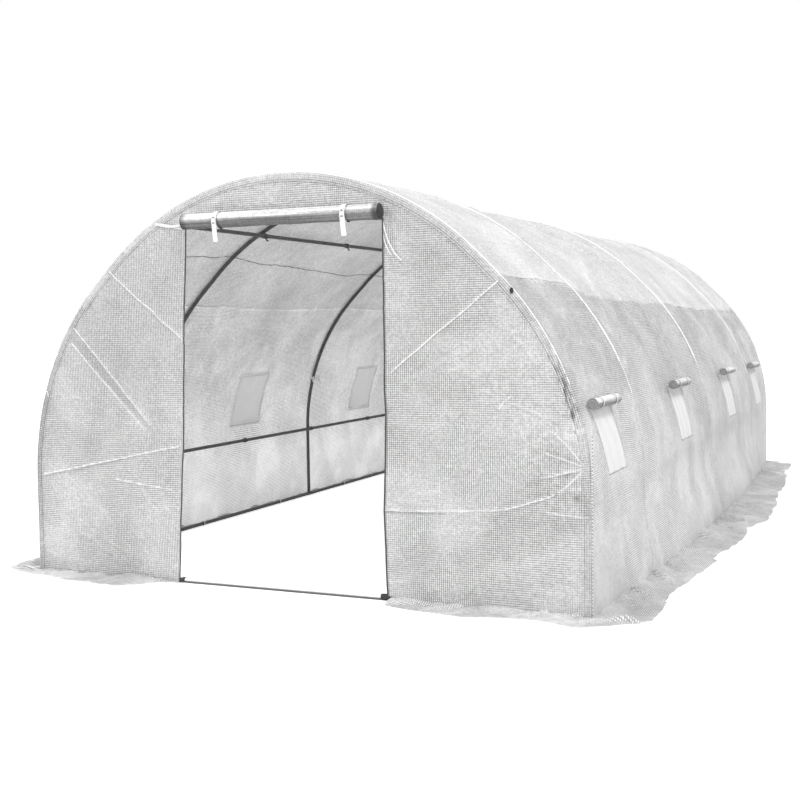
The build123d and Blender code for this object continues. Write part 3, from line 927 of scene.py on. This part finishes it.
def wrap(shape, axis, centre, spot, half, layers, steps, scale):
    """The two faces of a tape wound once round a roll."""
    angle, w = cross(np.linspace(0, 2 * pi, steps), (-half, half))
    for layer, flip in layers:
        places = round_axis(axis, spot + w, centre, layer, layer, angle)
        shape.grid(places, stack(angle * scale, w), flip=flip)


def strip(shape, x, y, z, long, half, thick):
    """The two faces of a tape on the front, given the x, y and z along its middle and the distance along it."""
    w = np.array([-half, half])
    for back in (0.0, thick):
        places = stack(x[:, None] + w, (y - back)[:, None], z[:, None])
        shape.grid(places, stack(*cross(long, w)), flip=back == 0)


DOOR_TIES = (-0.312, 0.368)
ROLL_CENTRE = (0, -3.0430, 1.785)
ROLL_RADIUS = 0.0400


def make_door():
    make_roll("rolled_door", "door_roll", ROLL_CENTRE, 0, (-0.505, 0.538), ROLL_RADIUS, 11, 301,
              -1.9, -1.0, DOOR_TIES, True)
    shape, tail, half = Shape(), 0.105, 0.0125
    drop = np.linspace(0, tail, 14)
    for x in DOOR_TIES:
        wrap(shape, 0, ROLL_CENTRE, x, half, ((0.0406, False), (0.0422, True)), 33, 0.04)
        y = ROLL_CENTRE[1] - 0.0424 + 0.004 * np.sin(drop * 40)
        strip(shape, x + 0.014 * (drop / tail) ** 2, y, ROLL_CENTRE[2] - drop, drop, half, 0.0016)
    shape.settle("door_tie_tapes", TAPE, "tie_tape", "door_ties")
    z = np.linspace(0.004, DOOR_TOP, 120)
    for side, word in SIDES:
        shape, edge = Shape(), door_edge(z, side)
        strip(shape, edge, -HALF_LENGTH - front_push(edge, z)[0] - 0.0005, z, z, 0.0036, 0.0014)
        shape.settle(f"door_zip_tape_{word}", ZIP, "zip", f"door_zip_{word}")


make_door()


# Windows


def wall_point(foot, y, side, out):
    """Places on the side wall or roof, held off the film by out."""
    x, z, nx, nz = arch(side * (RIDGE - foot), SHEET_INSET)
    push = cover_push(side * (RIDGE - foot), y)[0] + out
    return stack(x + push * nx, y, z + push * nz)


def window_sheet(kind, index, side, word, material, slot, margin, out, belly=0.0, pleat=0.0):
    """A window's mesh or flap, reaching past the hole by margin and held off the film by out."""
    middle = WINDOWS[index]
    near, far = middle - WINDOW_HALF - margin, middle + WINDOW_HALF + margin
    foot, y = cross(lines(SILL_FOOT - margin, HEAD_FOOT + margin, 0.012), lines(near, far, 0.012))
    places = wall_point(foot, y, side, out)
    t = (y - middle) / WINDOW_HALF
    folds = pleat * np.cos(t * 9 + 1.5 * noise(foot * 6, y * 3, 401 + index)) * smooth(np.abs(t), 1.0, 0.8)
    places[..., 0] += side * (belly * np.clip(1 - t * t, 0, 1) + folds)
    shape, flat = Shape(), stack(foot, y)
    # the tone follows the pleats, paler where they stand out and darker in their hollows: painted shade
    shape.grid(lean_windows(places, side), flat, 1 + 14 * folds, flip=side < 0, crumple=0.2)
    plural = "es" if kind == "mesh" else "s"
    piece = shape.settle(f"window_{kind}_{word}_{index + 1}", material, slot, f"window_{kind}{plural}_{word}")


def make_windows():
    half = 0.215
    for k, middle in enumerate(WINDOWS):
        window_sheet("mesh", k, 1, "right", MESH, "insect_mesh", 0.004, -0.001, pleat=0.002)
        window_sheet("mesh", k, -1, "left", INNER_MESH, "insect_mesh", 0.004, -0.001)
        window_sheet("flap", k, -1, "left", FLAP, "cover_film", 0.025, 0.0025, belly=0.004)
        middle, roll_z = skew_at(middle, HEAD + 0.0183, 1, k)
        centre = (1.4737 - 0.2 * (roll_z - 0.8983), middle, roll_z)
        ties = (middle - 0.125, middle + 0.125)
        make_roll(f"window_roll_{k + 1}", "window_rolls_right", centre, 1,
                  (middle - half, middle + half), 0.0275, 7, 501 + 9 * k, 0.5, 1.0, ties)
        shape = Shape()
        for y in ties:
            wrap(shape, 1, centre, y, 0.006, ((0.0279, True), (0.0294, False)), 25, 0.03)
        shape.settle(f"window_ties_{k + 1}", TAPE, "tie_tape", "window_ties_right")


make_windows()


# Skirts on the ground

# where each skirt's outer edge lies: distance out at each place along
SIDE_OUTER = (
    (-3.0, 1.70), (-2.95, 1.75), (-2.30, 1.72), (-2.16, 1.745), (-1.60, 1.79), (-1.10, 1.825), (-0.90, 1.84),
    (-0.53, 1.815), (-0.30, 1.84), (-0.19, 1.885), (0.40, 1.87), (1.04, 1.84), (2.00, 1.78), (2.63, 1.73), (3.0, 1.72),
)
FRONT_LEFT_OUTER = (
    (-1.72, 0.010), (-1.57, 0.075), (-1.36, 0.155), (-1.23, 0.156), (-1.03, 0.182), (-0.87, 0.197), (-0.77, 0.115),
    (-0.70, 0.030), (-0.56, 0.012),
)
FRONT_RIGHT_OUTER = (
    (0.55, 0.095), (0.76, 0.152), (0.95, 0.174), (1.12, 0.132), (1.30, 0.120), (1.45, 0.187), (1.52, 0.150),
    (1.72, 0.010),
)
BACK_OUTER = ((-1.72, 0.010), (-1.50, 0.16), (-0.70, 0.19), (0.10, 0.165), (0.90, 0.19), (1.50, 0.17), (1.72, 0.010))
SKIRT_Z = 0.003


def pleats(t, long, seed):
    """Height and tone of a skirt lying in pleats, t from 0 at the wall to 1 at the outer edge; the tone is paler on
    the folds and ridges as a painted highlight and darker between them as painted shade.
    """
    slant = long + 0.22 * t + 0.05 * noise(long * 3, t * 1.5, seed)
    fold = np.abs(noise(slant * 9, t * 0.8, seed + 1))
    ridge = creases(slant * 6, t * 0.6, seed + 2, 0.11)
    small = np.abs(noise(slant * 26, t * 1.6, seed + 3))
    calm = smooth(noise(long * 1.3, 0.7, seed + 4), -0.5, 0.3)
    height = (0.020 * fold + 0.026 * ridge * calm + 0.006 * small) * (0.25 + 0.75 * (1 - t) ** 0.7)
    return height, 1.03 + 0.12 * (ridge * calm - 0.25) + 0.10 * (fold - 0.3) + 0.08 * (small - 0.3)


def make_side_skirt(side, word):
    shape = Shape()
    t, y = cross(np.linspace(0, 1, 30), lines(-HALF_LENGTH, HALF_LENGTH, 0.014))
    inner = HALF_WIDTH - SHEET_INSET + cover_push(side * RIDGE, y)[0] - 0.006
    ragged = 0.014 * noise(y * 6, 0.3, 601 + side) + 0.009 * noise(y * 23, 0.3, 603 + side)
    ragged = ragged - 0.022 * (noise(y * 2.2, 1.3, 605 + side) > 0.30)
    outer = np.interp(side * y, *np.array(SIDE_OUTER).T) + np.minimum(ragged, 0.004)
    x = inner + t * (outer - inner)
    height, tone = pleats(t, y, 611 + side)
    tone = tone - 0.16 * bell(t - 0.955, 0.02) * (noise(y * 90, 0.5, 619) > 0)
    places = stack(side * x, y, SKIRT_Z + height)
    shape.grid(places, stack(x, y), tone, flip=side < 0, crumple=0.8)
    skirt = shape.settle(f"skirt_strip_{word}", FILM, "cover_film", f"skirt_{word}")


def make_end_skirt(name, node, table, face, seed):
    """A skirt across an end, at the front (face -1) or back (1); table gives its depth at each x."""
    shape = Shape()
    table = np.array(table).T
    low, high = table[0, 0], table[0, -1]
    t, x = cross(np.linspace(0, 1, 18), lines(low, high, 0.012))
    ragged = 0.018 * noise(x * 5, 0.3, seed) + 0.010 * noise(x * 21, 0.3, seed + 1)
    outer = np.clip(np.interp(x, *table) + np.minimum(ragged, 0.003), 0.004, 0.2)
    depth = t * outer
    height, tone = pleats(t, x, seed + 2)
    tone = 1.07 * tone + 0.10 * noise(x * 60, t * 9, seed + 8)
    places = stack(x, face * (HALF_LENGTH - 0.004 + depth), SKIRT_Z + height * smooth(outer, 0, 0.08))
    shape.grid(places, stack(x, depth), tone, flip=face > 0, crumple=0.8)
    skirt = shape.settle(name, FILM, "cover_film", node)


for side, word in SIDES:
    make_side_skirt(side, word)
make_end_skirt("front_skirt_strip_left", "front_skirt_left", FRONT_LEFT_OUTER, -1, 701)
make_end_skirt("front_skirt_strip_right", "front_skirt_right", FRONT_RIGHT_OUTER, -1, 721)
make_end_skirt("back_skirt_strip", "back_skirt", BACK_OUTER, 1, 741)


# Small fittings and sewing

FRONT = (0, -1, 0)


def ribbon(shape, path, out, width, slot=0):
    """A flat strip along the path, facing out."""
    path, out = np.asarray(path, float), np.broadcast_to(np.asarray(out, float), np.shape(path))
    ahead = np.gradient(path, axis=0)
    ahead /= np.linalg.norm(ahead, axis=1)[:, None]
    side = np.cross(ahead, out)
    side /= np.linalg.norm(side, axis=1)[:, None]
    w = np.array([-0.5, 0.0, 0.5]) * width
    places = path[:, None, :] + side[:, None, :] * w[None, :, None]
    shape.grid(places, stack(*cross(travelled(path), w)), slot=slot)


def foot_high(z):
    """Distance up the profile at height z anywhere from the ground to near the ridge."""
    foot = np.linspace(0, RIDGE, 1500)
    return np.interp(z, arch(foot - RIDGE)[1], foot)


def wall_line(points, side, out, step=0.02):
    """Points on the side wall or roof through (y, z) places, held off it by out, with their normals."""
    points = np.array(points, float)
    reach = travelled(points)
    at = np.linspace(0, reach[-1], max(2, int(reach[-1] / step)))
    y, z = (np.interp(at, reach, column) for column in points.T)
    foot = foot_high(z)
    _, _, nx, nz = arch(side * (RIDGE - foot))
    return wall_point(foot, y, side, out), stack(nx, 0.0, nz) * np.sign(out)


def on_front(x, z, back):
    """Places on the front cover, back behind its surface."""
    return stack(x, -HALF_LENGTH - front_push(x, z)[0] + back, z)


def make_front_creases():
    """Creases of the front panels drawn tight enough to stand up as ridges, pale along their crests as a painted
    highlight.
    """
    shape = Shape()
    for (x0, z0), (x1, z1), _, _, light in FRONT_LINES:
        if light < 0.19:
            continue
        k = np.linspace(0, 1, max(6, int(np.hypot(x1 - x0, z1 - z0) / 0.02)))
        x = x0 + k * (x1 - x0) + 0.0035 * noise(k * 7, x0 * 9, 831)
        z = z0 + k * (z1 - z0) + 0.0035 * noise(k * 7, z0 * 9, 832)
        back = -0.0006 if light == 0.20 and x[0] < 0 else 0.0010
        ribbon(shape, on_front(x, z, back), FRONT, 0.0044 if x[0] < 1.25 and z[0] > 0.44 else 0.0032)
    shape.settle("front_creases", TIGHT_HIGHLIGHT, "cover_film")


def make_stitches():
    """Stitches on the door's ties, and the sewn front corner."""
    shape = Shape()
    for x in DOOR_TIES:
        for z in (1.795, 1.768):
            ribbon(shape, [(x - 0.006, -3.0870, z), (x, -3.0872, z + 0.001), (x + 0.006, -3.0870, z)], FRONT, 0.0045)
    shape.settle("door_tie_stitches", THREAD, "tie_tape")
    shape = Shape()
    z = np.linspace(0.01, 0.79, 60)
    path = stack(1.4966 + 0.0012 * noise(z * 9, 0.5, 821), -2.9978, z)
    ribbon(shape, path, (0.7, -0.7, 0), 0.0075)
    shape.settle("corner_stitching", CORNER, "cover_film")


def make_sill():
    """The sill tube wrapped in pale film, with painted shade along its lower side and a darker line along its top,
    with black pieces at its ends.
    """
    shape, radius = Shape(), 0.0136
    x, angle = cross(np.linspace(-0.585, 0.50, 40), np.linspace(0, 2 * pi, 25))
    height = radius + radius * np.cos(angle) * (1 + 0.04 * noise(x * 9, angle, 811))
    places = stack(x, -END_HOOP - radius * np.sin(angle), height)
    # painted shade: darker towards the tube's underside, with a darker line along its top
    tone = 1.0 - 0.85 * smooth(-np.cos(angle + 0.25), 0.0, 0.45) - 0.35 * smooth(np.cos(angle + 0.1), 0.90, 0.99)
    shape.grid(places, stack(x, angle * radius), tone)
    shape.settle("sill_wrap", WHITE, "cover_film")
    shape = Shape()
    shape.tube([(x, -END_HOOP, 0.0137) for x in (-0.60, -0.585)], 0.0150, 16)
    shape.tube([(0.495, -2.9865, 0.0160), (0.53, -2.9868, 0.0165), (0.575, -2.9865, 0.0160)],
               (0.0150, 0.0165, 0.0150), 16)
    shape.settle("sill_ends", CAP, "frame_tube")


ROOF_SEAM = (
    (-2.9, 1.65), (-2.4, 1.660), (-1.97, 1.680), (-1.6, 1.660), (-1.44, 1.662), (-0.9, 1.648), (-0.42, 1.630),
    (-0.01, 1.642), (0.5, 1.630), (1.0, 1.640), (2.0, 1.662), (2.9, 1.65),
)


def make_seams():
    """Sewn seams along the inside of the roof, stitched window borders, and the pull tapes of the windows."""
    shape = Shape()
    for side, _ in SIDES:
        ribbon(shape, *wall_line(ROOF_SEAM, side, -0.0022), 0.0045)
    shape.settle("roof_seam_thread", THREAD, "cover_film")
    margin = 0.006
    for side, word in SIDES:
        border, pull = Shape(), Shape()
        for index, middle in enumerate(WINDOWS):
            low, high = SILL - margin, HEAD + margin
            near, far = middle - WINDOW_HALF - margin, middle + WINDOW_HALF + margin
            corners = ((near, low), (far, low), (far, high), (near, high), (near, low))
            loop = [skew_at(y, z, side, index) for y, z in corners]
            for ends in zip(loop[:-1], loop[1:]):
                if side > 0:
                    ribbon(border, *wall_line(ends, side, -0.0022, 0.03), 0.016)
                else:
                    ribbon(border, *wall_line(ends, side, -0.0022, 0.03), 0.008, slot=1)
                    ribbon(border, *wall_line(ends, side, -0.0028, 0.03), 0.0034)
            tape = [skew_at(middle, HEAD - 0.005, side, index), skew_at(middle - 0.01, HEAD - 0.09, side, index)]
            ribbon(pull, *wall_line(tape, side, -0.012), 0.012)
        border.settle(f"window_borders_{word}", (SEWN, PULL) if side < 0 else SEWN, "cover_film")
        pull.settle(f"window_pulls_{word}", PULL, "tie_tape")


def make_clamps():
    """Clamps with wing nuts where the hoops cross the lengthwise tubes, and between them."""
    for name, (x, z, _) in LONG_TUBES.items():
        if name.startswith("base"):
            continue
        shape = Shape()
        inward = np.array([-x, 0, 0.55 - z]) / np.hypot(x, z - 0.55) if z > 0.6 else np.array([-np.sign(x), 0, 0.0])
        for y in (*INNER_HOOPS, -0.95, 1.0):
            spot = np.array([x, y, z])
            start = spot + inward * 0.012
            shape.tube([start, start + inward * 0.022], 0.0032, 10)
            shape.tube([start + inward * 0.001, start + inward * 0.006], 0.0075, 6)
            for turn in (-1, 1):
                wing = start + inward * 0.016
                shape.tube([wing, wing + (0, turn * 0.012, 0) + inward * 0.004], (0.004, 0.0028), 8)
            shape.tube([spot + (0, k, 0) for k in (-0.016, -0.015, 0.015, 0.016)],
                       TUBE + np.array([0.0012, 0.0028, 0.0028, 0.0012]), 16)
        shape.settle(f"clamps_{name}", STEEL, "frame_tube")


RING = np.linspace(0, 2 * pi, 15)[:-1]


def make_ties():
    """White ties round the hoops and base rails."""
    shape = Shape()
    for side, _ in SIDES:
        for y in INNER_HOOPS:
            x, h, nx, nz = arch(side * (RIDGE - foot_at(0.885)), HOOP_INSET)
            centre, a, b = np.array([x, y, h]), np.array([nx, 0, nz]), np.array([0, 1, 0])
            for lift in (-0.004, 0.004):
                ring = [centre + 0.0145 * (cos(t) * a + sin(t) * b) + (0, 0, lift) for t in RING]
                shape.tube(ring, 0.0040, 6, closed=True)
            start = centre - a * 0.015
            for turn in (-1, 1):
                bow = [(0, 0, 0), (-side * 0.008, turn * 0.034, 0.012), (-side * 0.014, turn * 0.056, -0.022)]
                shape.tube(start + np.array(bow), (0.005, 0.007, 0.004), 6)
        for y in (-2.45, -1.49, -0.50, 0.53, 1.5, 2.45):
            centre = np.array([side * RAIL_X, y, TUBE])
            ring = [centre + (0.0142 * cos(t), 0, 0.0142 * sin(t) + 0.0022) for t in RING]
            shape.tube(ring, 0.0022, 6, closed=True)
            start = centre + (-side * 0.012, 0, 0.012)
            shape.tube([start, start + (-side * 0.012, 0.015, 0.02)], (0.003, 0.002), 6)
    shape.settle("frame_ties", WHITE, "tie_tape")


# loose tape ends on the front: their path and width
TAILS = (
    (((0.535, 1.745), (0.545, 1.70), (0.560, 1.655), (0.590, 1.60), (0.625, 1.565)), 0.007),
    (((0.530, 1.742), (0.540, 1.66), (0.556, 1.62), (0.575, 1.590)), 0.005),
    (((-0.545, 1.776), (-0.60, 1.770), (-0.66, 1.782), (-0.70, 1.786)), 0.012),
    (((-1.418, 0.960), (-1.402, 0.950), (-1.394, 0.925)), 0.007),
)


def make_front_details():
    """The eyelet in the rim and the loose tape ends."""
    shape = Shape()
    x, z, _, _ = arch(RIDGE - foot_high(1.425), 0.012)
    shape.tube([(x + 0.006 * cos(t), -3.0020, z + 0.011 * sin(t)) for t in RING], 0.0032, 6, closed=True)
    shape.tube([(x, -2.9990, z), (x, -3.0025, z)], 0.0075, 12)
    shape.settle("rim_eyelets", CAP, "cover_film")
    shape = Shape()
    for path, width in TAILS:
        k = np.linspace(0, len(path) - 1, 18)
        x, z = (np.interp(k, range(len(path)), column) for column in np.array(path).T)
        ribbon(shape, on_front(x, z, -0.0015), FRONT, width)
    shape.settle("front_tape_tails", TAPE, "tie_tape")


make_front_creases()
make_stitches()
make_sill()
make_seams()
make_clamps()
make_ties()
make_front_details()

scene = bpy.context.scene
scene.view_settings.view_transform = "Standard"
